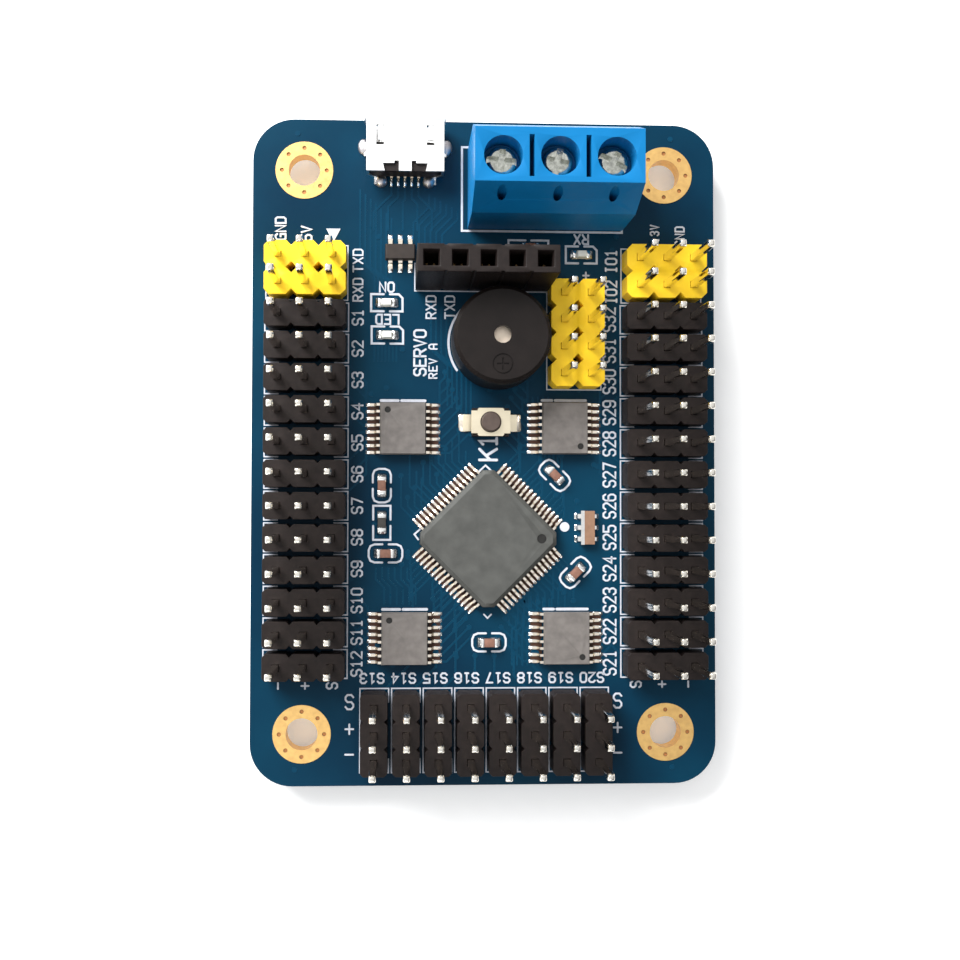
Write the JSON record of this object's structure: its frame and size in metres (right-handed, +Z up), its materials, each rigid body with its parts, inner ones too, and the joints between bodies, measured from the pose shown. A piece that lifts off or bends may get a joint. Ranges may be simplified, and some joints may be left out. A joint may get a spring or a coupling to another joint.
{
  "type": "servo driver board",
  "caption": "Rectangular controller board with rows of three-pin servo connectors round its edges, a screw terminal block, a micro USB socket, a buzzer and a reset button.",
  "frame": {"origin": "centre of the four mounting holes, on the underside of the bare board", "axes": "+Z up out of the component side, +Y along the long side towards the USB socket and the screw terminals, +X to the right of them seen from above"},
  "size_m": [0.0444, 0.0636, 0.0133],
  "materials": {
    "solder_mask": "deep blue glass-fibre board with a smooth solder mask and white print",
    "gold_plate": "thin gold plating, satin",
    "solder": "bright solder and tinned end caps",
    "tinned_steel": "satin tinned sheet steel",
    "black_moulding": "black glass-filled nylon",
    "yellow_moulding": "warm yellow glass-filled nylon",
    "tinned_pin": "tin-plated brass, satin",
    "phosphor_bronze": "phosphor bronze spring strip",
    "blue_moulding": "bright blue polyamide",
    "zinc_plated_steel": "bright zinc-plated steel",
    "enamelled_copper": "enamelled copper winding",
    "ferrite": "dark grey bonded magnet",
    "brown_moulding": "dark brown plastic",
    "black_epoxy": "moulded black epoxy, fine matt texture",
    "resonator_ceramic": "tan ceramic",
    "led_substrate": "off-white laminate",
    "led_epoxy": "clear pale epoxy",
    "capacitor_ceramic": "sintered tan ceramic",
    "resistor_film": "dark glazed film on ceramic"
  },
  "bodies": {
    "board": {"buzzer_base": "black_moulding", "buzzer_case": "black_moulding", "buzzer_coil": "enamelled_copper", "buzzer_diaphragm": "tinned_steel", "buzzer_driver_body": "black_epoxy", "buzzer_magnet": "ferrite", "buzzer_pins": "tinned_pin", "buzzer_yoke": "zinc_plated_steel", "ceramic_capacitors": "capacitor_ceramic", "chip_end_caps": "solder", "chip_resistors": "resistor_film", "circuit_board": "solder_mask", "io_header_housing": "yellow_moulding", "io_header_pins": "tinned_pin", "led_bases": "led_substrate", "led_lenses": "led_epoxy", "left_servo_header_housings": "black_moulding", "left_servo_header_pins": "tinned_pin", "lower_servo_header_housings": "black_moulding", "lower_servo_header_pins": "tinned_pin", "memory_chip_body": "black_epoxy", "memory_chip_leads": "tinned_pin", "microcontroller_body": "black_epoxy", "microcontroller_leads": "tinned_pin", "module_socket_contacts": "phosphor_bronze", "module_socket_housing": "black_moulding", "mounting_hole_rims": "gold_plate", "power_header_housing": "yellow_moulding", "power_header_pins": "tinned_pin", "regulator_bodies": "black_epoxy", "reset_button_base": "black_moulding", "reset_button_cover": "tinned_steel", "reset_button_dome": "tinned_steel", "reset_button_terminals": "tinned_steel", "resonator": "resonator_ceramic", "right_servo_header_housings": "black_moulding", "right_servo_header_pins": "tinned_pin", "serial_header_housing": "yellow_moulding", "serial_header_pins": "tinned_pin", "shift_register_body_1": "black_epoxy", "shift_register_body_2": "black_epoxy", "shift_register_body_3": "black_epoxy", "shift_register_body_4": "black_epoxy", "shift_register_leads": "tinned_pin", "solder_joints": "solder", "terminal_contact_1": "zinc_plated_steel", "terminal_contact_2": "zinc_plated_steel", "terminal_contact_3": "zinc_plated_steel", "terminal_housing": "blue_moulding", "under_package_leads": "tinned_pin", "usb_contacts": "gold_plate", "usb_insulator": "black_moulding", "usb_shell": "tinned_steel"},
    "cage_1": {"terminal_cage_1": "zinc_plated_steel"},
    "cage_2": {"terminal_cage_2": "zinc_plated_steel"},
    "cage_3": {"terminal_cage_3": "zinc_plated_steel"},
    "screw_1": {"terminal_screw_1": "zinc_plated_steel"},
    "screw_2": {"terminal_screw_2": "zinc_plated_steel"},
    "screw_3": {"terminal_screw_3": "zinc_plated_steel"},
    "reset_plunger": {"reset_button_plunger": "brown_moulding"}
  },
  "joints": [
    {"name": "turn_screw_1", "type": "hinge", "parent": "board", "child": "screw_1", "pos_m": [0.0008, 0.0254, 0.0096], "axis": [0, 0, 1], "range_deg": [-1010, 0]},
    {"name": "turn_screw_2", "type": "hinge", "parent": "board", "child": "screw_2", "pos_m": [0.0058, 0.0254, 0.0096], "axis": [0, 0, 1], "range_deg": [-1010, 0]},
    {"name": "turn_screw_3", "type": "hinge", "parent": "board", "child": "screw_3", "pos_m": [0.0108, 0.0254, 0.0096], "axis": [0, 0, 1], "range_deg": [-1010, 0]},
    {"name": "lift_cage_1", "type": "slide", "parent": "board", "child": "cage_1", "axis": [0, 0, 1], "range_m": [0, 0.0014]},
    {"name": "lift_cage_2", "type": "slide", "parent": "board", "child": "cage_2", "axis": [0, 0, 1], "range_m": [0, 0.0014]},
    {"name": "lift_cage_3", "type": "slide", "parent": "board", "child": "cage_3", "axis": [0, 0, 1], "range_m": [0, 0.0014]},
    {"name": "press_reset", "type": "slide", "parent": "board", "child": "reset_plunger", "axis": [0, 0, -1], "range_m": [0, 0.00025], "stiffness_N_per_m": 6400, "deforming": ["reset_button_dome"]}
  ],
  "couplings": [
    {"joint": "turn_screw_1", "follows": "lift_cage_1", "rad_per_m": -12566},
    {"joint": "turn_screw_2", "follows": "lift_cage_2", "rad_per_m": -12566},
    {"joint": "turn_screw_3", "follows": "lift_cage_3", "rad_per_m": -12566}
  ]
}
